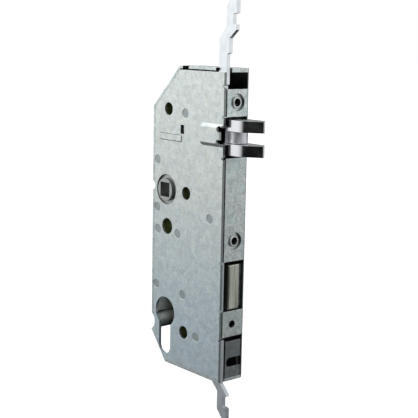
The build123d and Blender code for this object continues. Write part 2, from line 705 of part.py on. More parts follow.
with BuildPart() as latch_fork:
    with BuildSketch(Plane.XY.offset(PRONG_LOW[0])) as plan:
        with BuildLine():
            Polyline(
                (LATCH_REAR_X, FORK_REAR_NEAR),
                (FORK_STEP_X, FORK_REAR_NEAR),
                (FORK_STEP_X, FORK_NEAR),
                BEVEL_START,
                BEVEL_TIP,
                NOSE_END,
                (LATCH_REAR_X, FORK_FAR),
                close=True,
            )
        make_face()
        for corner, corner_round in (
            (BEVEL_START, BEVEL_START_ROUND),
            (BEVEL_TIP, BEVEL_TIP_ROUND),
            (NOSE_END, NOSE_ROUND),
        ):
            fillet(plan.vertices().sort_by_distance((*corner, 0))[0], corner_round)
    extrude(amount=PRONG_HIGH[1] - PRONG_LOW[0])
    # the rear top corner clears a pillar when the latch is drawn back
    rear_edges = latch_fork.faces().sort_by(Axis.X)[0].edges()
    chamfer(rear_edges.sort_by(Axis.Z)[-1], FORK_CORNER)
    # gap between the prongs, with a round pocket behind the roller
    with BuildSketch(Plane.XY.offset(PRONG_LOW[1])):
        with Locations((ROLLER_AXIS[0] + REACH / 2, 0)):
            Rectangle(REACH, REACH)
        with Locations(ROLLER_AXIS):
            Circle(ROLLER_RADIUS + ROLLER_PLAY)
        with Locations((ROLLER_AXIS[0] - POCKET_LENGTH / 2 + CLEARANCE, 0)):
            Rectangle(POCKET_LENGTH, REACH)
    extrude(amount=PRONG_HIGH[0] - PRONG_LOW[1], mode=Mode.SUBTRACT)
    with BuildSketch(Plane.XY.offset(PRONG_LOW[0])):
        with Locations(ROLLER_AXIS):
            Circle(ROLLER_PIN_RADIUS)
    extrude(amount=PRONG_HIGH[1] - PRONG_LOW[0], mode=Mode.SUBTRACT)
    # slot for the tail's tongue, and the guide rod's hole
    with BuildSketch(side(TAIL_FAR)):
        with Locations(((LATCH_REAR_X + TONGUE_X) / 2, (TONGUE_LOW + TONGUE_HIGH) / 2)):
            Rectangle(TONGUE_X - LATCH_REAR_X, TONGUE_HIGH - TONGUE_LOW)
    extrude(amount=TAIL_FAR - TAIL_NEAR, mode=Mode.SUBTRACT)
    with BuildSketch(Plane.YZ.offset(LATCH_REAR_X)):
        with Locations((0, SPRING_Z)):
            Circle(ROD_RADIUS)
    extrude(amount=ROD_DEPTH, mode=Mode.SUBTRACT)

export(latch_fork.part, "latch_fork")

with BuildPart() as latch_guide_rod:
    with BuildSketch(Plane.YZ.offset(ROD_REAR_X)):
        with Locations((0, SPRING_Z)):
            Circle(ROD_RADIUS)
    extrude(amount=LATCH_REAR_X + ROD_DEPTH - ROD_REAR_X)
    chamfer(latch_guide_rod.faces().sort_by(Axis.X)[0].edges(), ROD_CHAMFER)

export(latch_guide_rod.part, "latch_guide_rod")

LUG_PLAY = 0.15
LUG_SIDE_PLAY = 0.2
LUG_FRONT_X = along_arm(ARM_LENGTH)[0] - ARM_TIP_RADIUS - LUG_PLAY
LUG_THICK = 1.2
LUG_LOW = 21.6

with BuildPart() as latch_tail:
    with BuildSketch(side(TAIL_FAR)):
        with BuildLine():
            Polyline(
                (LUG_FRONT_X - LUG_THICK, LUG_LOW),
                (28.0, LUG_LOW),
                (29.7, TONGUE_LOW),
                (TONGUE_X, TONGUE_LOW),
                (TONGUE_X, TONGUE_HIGH),
                (LUG_FRONT_X - LUG_THICK, TONGUE_HIGH),
                close=True,
            )
        make_face()
    extrude(amount=TAIL_FAR - TAIL_NEAR)
    with BuildSketch(side(TAIL_FAR)):
        with Locations((LUG_FRONT_X - LUG_THICK / 2, (LUG_LOW + TONGUE_HIGH) / 2)):
            Rectangle(LUG_THICK, TONGUE_HIGH - LUG_LOW)
    extrude(amount=TAIL_FAR + ARM_HALF_THICK + LUG_SIDE_PLAY)

export(latch_tail.part, "latch_tail")

with BuildPart() as roller_pin:
    with BuildSketch(Plane.XY.offset(PRONG_LOW[0])):
        with Locations(ROLLER_AXIS):
            Circle(ROLLER_PIN_RADIUS)
    extrude(amount=PRONG_HIGH[1] - PRONG_LOW[0])

export(roller_pin.part, "roller_pin")

with BuildPart() as latch_roller:
    with BuildSketch(Plane.XY.offset(PRONG_LOW[1] + CLEARANCE)):
        with Locations(ROLLER_AXIS):
            Circle(ROLLER_RADIUS)
            Circle(ROLLER_PIN_RADIUS + RUNNING_GAP, mode=Mode.SUBTRACT)
    extrude(amount=PRONG_HIGH[0] - PRONG_LOW[1] - 2 * CLEARANCE)
    rims = latch_roller.edges().filter_by(GeomType.CIRCLE).group_by(SortBy.RADIUS)[-1]
    fillet(rims, ROLLER_RIM_ROUND)

export(latch_roller.part, "latch_roller")

GUIDE_THICK = 1.1
GUIDE_LENGTH = 15.0
GUIDE_X = 38.0

with BuildPart() as latch_guides:
    for strip_low in (PRONG_LOW[0] - CLEARANCE - GUIDE_THICK, PRONG_HIGH[1] + CLEARANCE):
        with BuildSketch(side(INNER)):
            with Locations((GUIDE_X, strip_low + GUIDE_THICK / 2)):
                Rectangle(GUIDE_LENGTH, GUIDE_THICK)
        extrude(amount=INNER - FORK_REAR_NEAR)

export(latch_guides.part, "latch_guides")

# ---- deadbolt, its rack and its guide --------------------------------------------------------
BOLT_GEAR_RADIUS = BOLT_GEAR_TEETH / 2
RACK_PITCH_Z = KEY_AXIS[1] + BOLT_GEAR_RADIUS
RACK_REAR_X = -8.6
RACK_FRONT_X = 24.0
RACK_TOP = TAIL_TOP - 0.6
RACK_RIVETS = [(-5.0, -45.6), (21.0, -45.6)]
HEAD_REAR_X = 19.5
BOLT_EDGE = 0.5
BOLT_GUIDE_X = 33.0
BOLT_GUIDE_LENGTH = 25.0
BOLT_GUIDE_CORNER = 1.5

with BuildPart() as deadbolt:
    with BuildSketch(side(BOLT_FAR)) as bolt_side:
        with BuildLine():
            Polyline(
                (HEAD_REAR_X, BOLT_BOTTOM),
                (BOLT_FRONT_X, BOLT_BOTTOM),
                (BOLT_FRONT_X, BOLT_TOP),
                (HEAD_REAR_X + 3.0, BOLT_TOP),
                (HEAD_REAR_X - 2.0, TAIL_TOP),
                (RACK_REAR_X, TAIL_TOP),
                (RACK_REAR_X, TAIL_BOTTOM),
                (HEAD_REAR_X, TAIL_BOTTOM),
                close=True,
            )
        make_face()
        with Locations(*RACK_RIVETS):
            Circle(PLATE_RIVET_RADIUS, mode=Mode.SUBTRACT)
    extrude(amount=BOLT_FAR - BOLT_NEAR)
    chamfer(deadbolt.faces().sort_by(Axis.X)[-1].edges(), BOLT_EDGE)

export(deadbolt.part, "deadbolt")

rack_tooth_count = int((RACK_FRONT_X - RACK_REAR_X) / PITCH)
first_tooth = -math.floor((KEY_AXIS[0] - RACK_REAR_X) / PITCH - 0.5)

with BuildPart() as bolt_rack:
    with BuildSketch(side(BOLT_NEAR)):
        with Locations(((RACK_REAR_X + RACK_FRONT_X) / 2, (RACK_PITCH_Z + DEDENDUM + RACK_TOP) / 2)):
            Rectangle(RACK_FRONT_X - RACK_REAR_X, RACK_TOP - RACK_PITCH_Z - DEDENDUM)
        for place in range(first_tooth, first_tooth + rack_tooth_count - 1):
            with Locations(Location((KEY_AXIS[0] + PITCH * (place + 0.5), RACK_PITCH_Z), -90)):
                Polygon(*rack_tooth_points(), align=None)
        with Locations(*RACK_RIVETS):
            Circle(PLATE_RIVET_RADIUS, mode=Mode.SUBTRACT)
    extrude(amount=BOLT_NEAR - RACK_NEAR)

export(bolt_rack.part, "bolt_rack")

with BuildPart() as rack_rivets:
    with BuildSketch(side(BOLT_FAR)):
        with Locations(*RACK_RIVETS):
            Circle(PLATE_RIVET_RADIUS)
    extrude(amount=BOLT_FAR - RACK_NEAR)

export(rack_rivets.part, "rack_rivets")

with BuildPart() as bolt_guide:
    with BuildSketch(side(INNER)):
        with Locations((BOLT_GUIDE_X, (BOLT_TOP + BOLT_BOTTOM) / 2)):
            RectangleRounded(BOLT_GUIDE_LENGTH, BOLT_TOP - BOLT_BOTTOM, BOLT_GUIDE_CORNER)
        with Locations(*PLATE_RIVETS[:2]):
            Circle(PLATE_RIVET_RADIUS, mode=Mode.SUBTRACT)
    extrude(amount=INNER - BOLT_FAR - CLEARANCE)

export(bolt_guide.part, "bolt_guide")

# ---- key wheel: the cylinder's cam turns these two together ----------------------------------
with BuildPart() as bolt_gear:
    with BuildSketch(side(BOLT_NEAR - CLEARANCE)):
        with Locations(KEY_AXIS):
            Polygon(*gear_points(BOLT_GEAR_TEETH, math.pi / 2), align=None)
            Circle(JOURNAL_RADIUS + RUNNING_GAP, mode=Mode.SUBTRACT)
    extrude(amount=BOLT_NEAR - RACK_NEAR - CLEARANCE)

export(bolt_gear.part, "bolt_gear")

with BuildPart() as bar_pinion:
    with BuildSketch(side(RACK_NEAR)):
        with Locations(KEY_AXIS):
            Polygon(*gear_points(BAR_PINION_TEETH, 0), align=None)
            Circle(JOURNAL_RADIUS + RUNNING_GAP, mode=Mode.SUBTRACT)
    extrude(amount=RACK_NEAR - BAR_NEAR)

export(bar_pinion.part, "bar_pinion")

with BuildPart() as reversing_pinion:
    with BuildSketch(side(BAR_FAR)):
        with Locations(PINION_AXIS):
            Polygon(*gear_points(REVERSING_TEETH, 0), align=None)
            Circle(JOURNAL_RADIUS + RUNNING_GAP, mode=Mode.SUBTRACT)
    extrude(amount=BAR_FAR - BAR_NEAR)

export(reversing_pinion.part, "reversing_pinion")

# ---- drive bars: flat, with hooked ends; they move opposite ways ------------------------------
BAR_PINION_RADIUS = BAR_PINION_TEETH / 2
REVERSING_RADIUS = REVERSING_TEETH / 2
KEY_RACK_X = KEY_AXIS[0] + BAR_PINION_RADIUS
LOW_RACK_X = PINION_AXIS[0] + REVERSING_RADIUS
UP_RACK_X = PINION_AXIS[0] - REVERSING_RADIUS
STRIP_REAR_X = 21.3
STRIP_FRONT_X = 25.6
CROSS_LOW = 43.0
CROSS_HIGH = 49.5
RACK_BACK = 6.5
HOOK_ROUND = 1.0
WEB_HOLE_X = 33.5
WEB_HOLE_LENGTH = 12.0
WEB_HOLE_WIDTH = 8.0

with BuildPart() as upper_bar:
    with BuildSketch(side(BAR_FAR)) as upper_side:
        with BuildLine():
            Polyline(
                (BAR_REAR_X, CROSS_HIGH),
                (BAR_REAR_X, 83.6),
                (46.3, 89.7),
                (46.2, 99.8),
                (49.4, 104.0),
                (54.0, 104.0),
                (54.0, 90.2 + HOOK_NOTCH),
                (51.2, 89.9 + HOOK_NOTCH),
                (51.2, 90.4),
                (53.6, 90.6),
                (53.6, 87.8),
                (48.7, 83.7),
                (48.7, 76.2),
                (BAR_SHOULDER_X, 75.6),
                (BAR_SHOULDER_X, 60.1),
                (BAR_FRONT_X, 59.4),
                (BAR_FRONT_X, CROSS_LOW),
                (STRIP_FRONT_X, CROSS_LOW),
                (STRIP_FRONT_X, 9.0),
                (UP_RACK_X - DEDENDUM, 4.0),
                (UP_RACK_X - DEDENDUM, -30.0),
                (UP_RACK_X - DEDENDUM - RACK_BACK, -30.0),
                (UP_RACK_X - DEDENDUM - RACK_BACK, 4.0),
                (STRIP_REAR_X, 9.0),
                (STRIP_REAR_X, CROSS_HIGH),
                close=True,
            )
        make_face()
        fillet(upper_side.vertices().group_by(Axis.Y)[-1], HOOK_ROUND)
        with Locations(*rack_places(UP_RACK_X, PINION_AXIS[1], -6, 1)):
            Polygon(*rack_tooth_points(), align=None)
    extrude(amount=BAR_FAR - BAR_NEAR)

export(upper_bar.part, "upper_bar")

WEB_LOW = -60.2
WEB_HIGH = -38.5

with BuildPart() as lower_bar:
    with BuildSketch(side(BAR_FAR)) as lower_side:
        with BuildLine():
            Polyline(
                (BAR_REAR_X, WEB_LOW),
                (BAR_REAR_X - 0.7, -100.2),
                (44.8, -104.6),
                (44.8, -114.5),
                (48.8, -118.8),
                (52.3, -118.8),
                (52.3, -106.6 - HOOK_NOTCH),
                (49.2, -106.4 - HOOK_NOTCH),
                (49.2, -107.0),
                (52.4, -105.9),
                (51.8, -104.6),
                (BAR_SHOULDER_X, -100.0),
                (BAR_SHOULDER_X, -76.1),
                (BAR_FRONT_X, -75.4),
                (BAR_FRONT_X, 8.5),
                (LOW_RACK_X + DEDENDUM, 8.5),
                (LOW_RACK_X + DEDENDUM, -18.0),
                (40.0, -22.0),
                (40.0, WEB_HIGH),
                (KEY_RACK_X + DEDENDUM, WEB_HIGH),
                (KEY_RACK_X + DEDENDUM, WEB_LOW),
                close=True,
            )
        make_face()
        fillet(lower_side.vertices().group_by(Axis.Y)[0], HOOK_ROUND)
        for rack_x, gap_z, first, last in (
            (KEY_RACK_X, KEY_AXIS[1], -1, 6),
            (LOW_RACK_X, PINION_AXIS[1], -1, 6),
        ):
            for tooth_x, tooth_z in rack_places(rack_x, gap_z, first, last):
                with Locations(Location((tooth_x, tooth_z), 180)):
                    Polygon(*rack_tooth_points(), align=None)
        # lightening hole in the web
        with Locations((WEB_HOLE_X, (WEB_LOW + WEB_HIGH) / 2)):
            SlotOverall(WEB_HOLE_LENGTH, WEB_HOLE_WIDTH, rotation=90, mode=Mode.SUBTRACT)
    extrude(amount=BAR_FAR - BAR_NEAR)

export(lower_bar.part, "lower_bar")

# ---- slotted bracket deep in the lower recess ------------------------------------------------
BRACKET_FACE_X = 47.0
BRACKET_REAR_X = 31.0
BRACKET_NEAR_Y = -3.9
BRACKET_LOW = BOTTOM_Z + SHEET + CLEARANCE
BRACKET_HIGH = -77.4
BRACKET_SLOT_Z = -89.3
BRACKET_SLOT_LENGTH = 13.0
BRACKET_SLOT_HEIGHT = 5.2
BRACKET_SLOT_Y = 3.4

with BuildPart() as lower_bracket:
    bracket_middle = (BRACKET_LOW + BRACKET_HIGH) / 2
    with BuildSketch(Plane.YZ.offset(BRACKET_FACE_X)):
        with Locations(((BRACKET_NEAR_Y + INNER) / 2, bracket_middle)):
            Rectangle(INNER - BRACKET_NEAR_Y, BRACKET_HIGH - BRACKET_LOW)
    extrude(amount=-SHEET)
    with BuildSketch(side(INNER)):
        with Locations(((BRACKET_REAR_X + BRACKET_FACE_X) / 2, bracket_middle)):
            Rectangle(BRACKET_FACE_X - BRACKET_REAR_X, BRACKET_HIGH - BRACKET_LOW)
        with Locations(*PLATE_RIVETS[2:]):
            Circle(PLATE_RIVET_RADIUS, mode=Mode.SUBTRACT)
    extrude(amount=SHEET)
    # the slot runs out at the far side
    with BuildSketch(Plane.YZ.offset(BRACKET_FACE_X)):
        with Locations((BRACKET_SLOT_Y, BRACKET_SLOT_Z)):
            SlotOverall(BRACKET_SLOT_LENGTH, BRACKET_SLOT_HEIGHT)
    extrude(amount=-SHEET, mode=Mode.SUBTRACT)

export(lower_bracket.part, "lower_bracket")

with BuildPart() as plate_rivets:
    with BuildSketch(side(OUTER)):
        with Locations(*PLATE_RIVETS[:2]):
            Circle(PLATE_RIVET_RADIUS)
    extrude(amount=OUTER - BOLT_FAR - CLEARANCE)
    with BuildSketch(side(OUTER)):
        with Locations(*PLATE_RIVETS[2:]):
            Circle(PLATE_RIVET_RADIUS)
    extrude(amount=2 * SHEET)

export(plate_rivets.part, "plate_rivets")
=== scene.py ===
import math

import bpy
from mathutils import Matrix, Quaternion, Vector


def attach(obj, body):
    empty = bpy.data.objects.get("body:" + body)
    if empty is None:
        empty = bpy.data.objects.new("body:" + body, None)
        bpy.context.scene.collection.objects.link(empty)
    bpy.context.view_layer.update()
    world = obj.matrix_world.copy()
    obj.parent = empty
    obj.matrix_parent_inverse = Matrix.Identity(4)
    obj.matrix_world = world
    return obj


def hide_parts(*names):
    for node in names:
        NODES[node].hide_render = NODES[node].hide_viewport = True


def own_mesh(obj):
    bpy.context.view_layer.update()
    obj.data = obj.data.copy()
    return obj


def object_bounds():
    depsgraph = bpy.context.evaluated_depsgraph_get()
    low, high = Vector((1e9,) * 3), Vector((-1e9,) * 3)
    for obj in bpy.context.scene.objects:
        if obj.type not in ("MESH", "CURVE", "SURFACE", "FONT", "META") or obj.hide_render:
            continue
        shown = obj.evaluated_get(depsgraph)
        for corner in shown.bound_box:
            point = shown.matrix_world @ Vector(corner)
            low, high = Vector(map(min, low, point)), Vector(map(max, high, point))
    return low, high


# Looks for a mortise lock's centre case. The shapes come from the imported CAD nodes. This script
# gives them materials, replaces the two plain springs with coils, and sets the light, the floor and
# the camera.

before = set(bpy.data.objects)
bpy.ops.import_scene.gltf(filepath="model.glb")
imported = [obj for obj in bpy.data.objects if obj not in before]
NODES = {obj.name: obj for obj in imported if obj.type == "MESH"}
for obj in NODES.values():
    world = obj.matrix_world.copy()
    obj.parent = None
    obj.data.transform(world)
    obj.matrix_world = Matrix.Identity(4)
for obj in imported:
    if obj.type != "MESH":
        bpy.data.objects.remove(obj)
cad_box = [list(corner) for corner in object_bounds()]
MM = 0.001

# ---- places on the case, in mm -----------------------------------------------------------------
# X and Z of the cylinder's axis, and the radius of its hole's round part
CYLINDER_AXIS = (0.0, -70.0)
CYLINDER_RADIUS = 8.5
# the inside ends just past the plates' inner faces, at the back of the front wall and under the top rim
INSIDE_Y = 7.35
INSIDE_FRONT_X = 45.9
INSIDE_TOP_Z = 67.0
COVER_FRONT_X = 47.3
# inner face of the rear wall, and the height where it meets the pressed groove
REAR_WALL_X = -10.9
WALL_SEAM_Z = -72.6
# heights between which painted shade makes the sheet darker towards the bottom, and the narrower ones for its
# tint
SHADE_LOW_Z = -100.0
SHADE_HIGH_Z = 70.0
TINT_LOW_Z = -90.0
TINT_HIGH_Z = 20.0

# ---- painted shade, sheared edges and wear -------------------------------------------------------
# how far a surface looks for neighbours that shade it, in mm
RECESS_REACH = 9.0
# middle of the unshaded area round the cylinder's hole, and where the painted shade begins and is full
UNSHADED_MIDDLE = (CYLINDER_AXIS[0] - 6.0, 0.0, CYLINDER_AXIS[1] - 8.0)
UNSHADED_RADIUS = 19.0
FULL_SHADE_RADIUS = 25.0
# how strong each kind of painted shade, sheared edge and wear is
INSIDE_SHADE = 0.82
RECESS_SHADE = 0.8
FAR_WALL_SHADE = 0.85
FAR_BEND_SHADE = 0.7
SHEARED_AND_SHADOW = 0.72
WORN = 0.5
# near-black colour of the painted shade inside the case, in recesses and on the far side
PAINTED_SHADE_COLOUR = (0.03, 0.033, 0.022)
SHEARED_AND_SHADOW_COLOUR = (0.08, 0.09, 0.09)
WORN_COLOUR = (0.80, 0.82, 0.82)
# radius in mm of the softened edges, on sheet and on machined parts
SHEET_EDGE = 0.22
PART_EDGE = 0.15
EDGE_SAMPLES = 6
RECESS_SAMPLES = 8

# ---- camera --------------------------------------------------------------------------------------
CAMERA_PLACE = Vector((445.8, -354.2, 86.0)) * MM
CAMERA_AZIMUTH = 49.8
CAMERA_ELEVATION = 9.73
CAMERA_ROLL = math.radians(1.1)
LENS = 88.35
SENSOR = 36.0

# ---- floor ---------------------------------------------------------------------------------------
# the gap is a little more than the lower bar's travel, in mm; the side of the floor is in metres
FLOOR_GAP = 16.0
FLOOR_SIZE = 12.0
FLOOR_GLOW = 0.22


# ==== shader graph helpers ========================================================================
class Graph:
    """A node tree that is filled by short calls. A value may be a number, a colour or a socket."""

    def __init__(self, tree):
        self.tree = tree
        self.tree.nodes.clear()

    def put(self, value, socket):
        """Feeds a socket: links it to another socket, or sets its own value."""
        if isinstance(value, bpy.types.NodeSocket):
            self.tree.links.new(value, socket)
        elif socket.type == "RGBA" and len(value) == 3:
            socket.default_value = (*value, 1.0)
        else:
            socket.default_value = value

    def add(self, kind, inputs=None, **settings):
        """Adds a node of this kind, sets its settings and feeds its inputs by name or number."""
        node = self.tree.nodes.new("ShaderNode" + kind)
        for name, value in settings.items():
            setattr(node, name, value)
        for key, value in (inputs or {}).items():
            self.put(value, node.inputs[key])
        return node

    def math(self, operation, first, second=0.0):
        """One step of arithmetic on two numbers."""
        return self.add("Math", {0: first, 1: second}, operation=operation).outputs[0]

    def vector_math(self, operation, first, second, output=0):
        """One step of arithmetic on two vectors."""
        node = self.add("VectorMath", {0: first, 1: second}, operation=operation)
        return node.outputs[output]

    def step(self, value, low, high, at_low=0.0, at_high=1.0):
        """Goes smoothly from at_low to at_high while value goes from low to high."""
        inputs = {"Value": value, 1: low, 2: high, 3: at_low, 4: at_high}
        return self.add("MapRange", inputs, interpolation_type="SMOOTHSTEP").outputs[0]

    def mix(self, factor, first, second, blend="MIX"):
        """Blends two colours: the first at factor 0, the second at factor 1."""
        node = self.add("Mix", data_type="RGBA", blend_type=blend)
        self.put(factor, node.inputs["Factor"])
        self.put(first, node.inputs["A"])
        self.put(second, node.inputs["B"])
        return node.outputs["Result"]

    def noise(self, vector, scale, detail=2.0, roughness=0.5):
        """Smooth random value from about 0.2 to 0.8."""
        inputs = {"Vector": vector, "Scale": scale, "Detail": detail, "Roughness": roughness}
        return self.add("TexNoise", inputs).outputs["Fac"]

    def cells(self, vector, scale):
        """Random value for each cell of a crystal pattern."""
        node = self.add("TexVoronoi", {"Vector": vector, "Scale": scale})
        return self.add("SeparateColor", {0: node.outputs["Color"]}).outputs[0]

    def parts(self, vector):
        """The vector's x, y and z."""
        return self.add("SeparateXYZ", {0: vector}).outputs


def all_of(graph, *masks):
    """The masks multiplied: 1 where all of them are 1."""
    result = masks[0]
    for mask in masks[1:]:
        result = graph.math("MULTIPLY", result, mask)
    return result


def either(graph, *masks):
    """The highest of the masks."""
    result = masks[0]
    for mask in masks[1:]:
        result = graph.math("MAXIMUM", result, mask)
    return result


def metal_graph(name):
    """A new metal material: its graph, its shader, and the place on the object in mm."""
    material = bpy.data.materials.new(name)
    material.use_nodes = True
    graph = Graph(material.node_tree)
    shader = graph.add("BsdfPrincipled", {"Metallic": 1.0})
    output = graph.add("OutputMaterial")
    graph.put(shader.outputs[0], output.inputs[0])
    place = graph.add("TexCoord").outputs["Object"]
    place = graph.vector_math("SCALE", place, (0, 0, 0))
    place.node.inputs["Scale"].default_value = 1 / MM
    return material, graph, shader, place


def edge_mask(graph, radius):
    """1 along sharp outer edges, 0 on flat faces."""
    rounded = graph.add("Bevel", {"Radius": radius * MM}, samples=EDGE_SAMPLES).outputs[0]
    flat = graph.add("NewGeometry").outputs["Normal"]
    alike = graph.vector_math("DOT_PRODUCT", rounded, flat, output="Value")
    return graph.step(alike, 0.985, 0.85)


def relief(graph, shader, height, distance, radius):
    """Bump on top of normals that are rounded over the edges."""
    rounded = graph.add("Bevel", {"Radius": radius * MM}, samples=EDGE_SAMPLES).outputs[0]
    inputs = {"Height": height, "Distance": distance * MM, "Strength": 1.0, "Normal": rounded}
    graph.put(graph.add("Bump", inputs).outputs[0], shader.inputs["Normal"])


def inside_shade_mask(graph, place):
    """1 on surfaces inside the case, away from the cylinder's hole, where painted shade darkens them."""
    x, y, z = graph.parts(place)
    depth = graph.math("ABSOLUTE", y)
    flat_place = graph.add("CombineXYZ", {0: x, 2: z}).outputs[0]
    from_hole = graph.vector_math("DISTANCE", flat_place, UNSHADED_MIDDLE, output="Value")
    return all_of(
        graph,
        graph.step(depth, INSIDE_Y + 0.1, INSIDE_Y - 0.05),
        graph.step(x, INSIDE_FRONT_X + 0.2, INSIDE_FRONT_X - 1.5),
        graph.step(z, INSIDE_TOP_Z + 0.2, INSIDE_TOP_Z),
        graph.step(from_hole, UNSHADED_RADIUS, FULL_SHADE_RADIUS),
    )


def recess_shade_mask(graph):
    """Painted shade: towards 1 in narrow gaps and deep corners, 0 on open faces."""
    opening = graph.add("AmbientOcclusion", {"Distance": RECESS_REACH * MM}, samples=RECESS_SAMPLES)
    return graph.step(opening.outputs["AO"], 0.55, 0.12, 0.0, RECESS_SHADE)


def far_wall_shade_mask(graph, y, normal):
    """Painted shade on the inner faces of the far side, seen through the windows in the front."""
    mask = all_of(graph, graph.step(normal[1], -0.85, -0.95), graph.step(y, 0.0, 1.0))
    return graph.math("MULTIPLY", mask, FAR_WALL_SHADE)


def far_bend_shade_mask(graph, normal):
    """The bend between the front and the far side, darkened by painted shade."""
    mask = all_of(graph, graph.step(normal[0], 0.05, 0.2), graph.step(normal[1], 0.15, 0.45))
    return graph.math("MULTIPLY", mask, FAR_BEND_SHADE)


def rear_wall_shade_mask(graph, x, y, z, normal):
    """Painted shade on the rear wall's inner face behind the cylinder's hole: darker when deeper and lower.
    """
    wall = all_of(graph, graph.step(normal[0], 0.0, 0.3), graph.step(x, REAR_WALL_X + 3.5, REAR_WALL_X + 2.8))
    depth = graph.step(y, -INSIDE_Y, 3.0, 0.0, 0.92)
    hole_low = CYLINDER_AXIS[1] - CYLINDER_RADIUS
    low = graph.step(z, hole_low, hole_low - 3.0, 0.0, 0.85)
    seam = graph.step(graph.math("ABSOLUTE", graph.math("ADD", z, -WALL_SEAM_Z)), 1.1, 0.1, 0.0, 0.75)
    return graph.math("MULTIPLY", wall, either(graph, depth, low, seam))


# ==== materials ===================================================================================
def shaded(graph, colour, tone):
    """The colour multiplied by a grey tone."""
    grey = graph.add("CombineColor", {0: tone, 1: tone, 2: tone}).outputs[0]
    return graph.mix(1.0, colour, grey, "MULTIPLY")


def swing(graph, value, amount):
    """Turns a value from 0 to 1 into a tone around 1 that varies by this amount."""
    node = graph.math("MULTIPLY_ADD", value, amount)
    node.node.inputs[2].default_value = 1.0 - amount / 2
    return node


def galvanised_sheet(name, cool, warm, contrast, low_tint=(1.0, 1.0, 1.0)):
    """Zinc coated sheet: soft patches, a crystal spangle, fine grain, bright worn edges, painted shade
    inside.

    The low tint multiplies the colour towards the case's bottom.
    """
    material, graph, shader, place = metal_graph(name)
    x, y, z = graph.parts(place)
    normal = graph.parts(graph.add("NewGeometry").outputs["Normal"])
    patches = graph.noise(place, 0.22, 5.0, 0.7)
    colour = graph.mix(graph.step(patches, 0.38, 0.62), cool, warm)
    wobble = graph.add("TexNoise", {"Vector": place, "Scale": 0.5}).outputs["Color"]
    bent = graph.vector_math("ADD", place, wobble)
    coarse = graph.cells(bent, 0.45)
    fine = graph.cells(bent, 1.3)
    grain = graph.noise(graph.vector_math("MULTIPLY", place, (1.0, 0.7, 1.6)), 1.1, 5.0, 0.75)
    # the height step in this tone is painted shade: darker towards the bottom, lighter towards the top
    tone = all_of(
        graph,
        swing(graph, coarse, contrast),
        swing(graph, fine, contrast * 0.7),
        graph.step(grain, 0.3, 0.7, 1.0 - contrast * 0.8, 1.0 + contrast * 0.6),
        graph.step(z, SHADE_LOW_Z, SHADE_HIGH_Z, 0.86, 1.06),
    )
    colour = shaded(graph, colour, tone)
    tint = graph.mix(graph.step(z, TINT_LOW_Z, TINT_HIGH_Z), low_tint, (1.0, 1.0, 1.0))
    colour = graph.mix(1.0, colour, tint, "MULTIPLY")
    edges = edge_mask(graph, SHEET_EDGE)
    colour = graph.mix(graph.math("MULTIPLY", edges, WORN), colour, WORN_COLOUR)
    # sheared front edge of the cover, darker as cut sheet and as painted shadow, and the walls of the notches
    # in the top rim, painted dark as shade
    faces_front = graph.step(normal[0], 0.9, 0.97)
    cover_edge = all_of(
        graph,
        faces_front,
        graph.step(x, COVER_FRONT_X - 0.3, COVER_FRONT_X - 0.2),
        graph.step(y, 0.1 - INSIDE_Y, -INSIDE_Y),
    )
    colour = graph.mix(graph.math("MULTIPLY", cover_edge, SHEARED_AND_SHADOW), colour, SHEARED_AND_SHADOW_COLOUR)
    notch_wall_shade = all_of(
        graph,
        faces_front,
        graph.step(z, INSIDE_TOP_Z - 0.1, INSIDE_TOP_Z + 0.1),
        graph.step(x, INSIDE_FRONT_X, INSIDE_FRONT_X - 0.3),
    )
    # painted shade: these masks darken the sheet towards the near-black shade colour
    dark = either(
        graph,
        graph.math("MULTIPLY", inside_shade_mask(graph, place), INSIDE_SHADE),
        notch_wall_shade,
        recess_shade_mask(graph),
        far_wall_shade_mask(graph, y, normal),
        far_bend_shade_mask(graph, normal),
        rear_wall_shade_mask(graph, x, y, z, normal),
    )
    colour = graph.mix(dark, colour, PAINTED_SHADE_COLOUR)
    graph.put(colour, shader.inputs["Base Color"])
    rough = graph.step(fine, 0.0, 1.0, 0.40, 0.52)
    rough = graph.math("SUBTRACT", rough, graph.math("MULTIPLY", edges, 0.12))
    graph.put(rough, shader.inputs["Roughness"])
    height = graph.math("ADD", graph.math("MULTIPLY", coarse, 0.5), grain)
    relief(graph, shader, height, 0.012, SHEET_EDGE)
    return material


def plain_metal(name, colour, dark, roughness, grain=(1.5, 1.5, 1.5), depth=0.006, contrast=0.5):
    """Machined or plated metal: two tones in stretched grain, rubbed edges, fine scratches."""
    material, graph, shader, place = metal_graph(name)
    streaks = graph.noise(graph.vector_math("MULTIPLY", place, grain), 1.0, 4.0, 0.6)
    smudge = graph.noise(place, 0.18, 2.0)
    base = graph.mix(graph.math("MULTIPLY", graph.step(streaks, 0.3, 0.7), contrast), colour, dark)
    rubbed = tuple(min(0.9, part * 1.25) for part in colour)
    base = graph.mix(graph.math("MULTIPLY", edge_mask(graph, PART_EDGE), WORN), base, rubbed)
    graph.put(base, shader.inputs["Base Color"])
    rough = graph.step(smudge, 0.3, 0.7, roughness * 0.85, roughness * 1.2)
    graph.put(rough, shader.inputs["Roughness"])
    relief(graph, shader, streaks, depth, PART_EDGE)
    return material


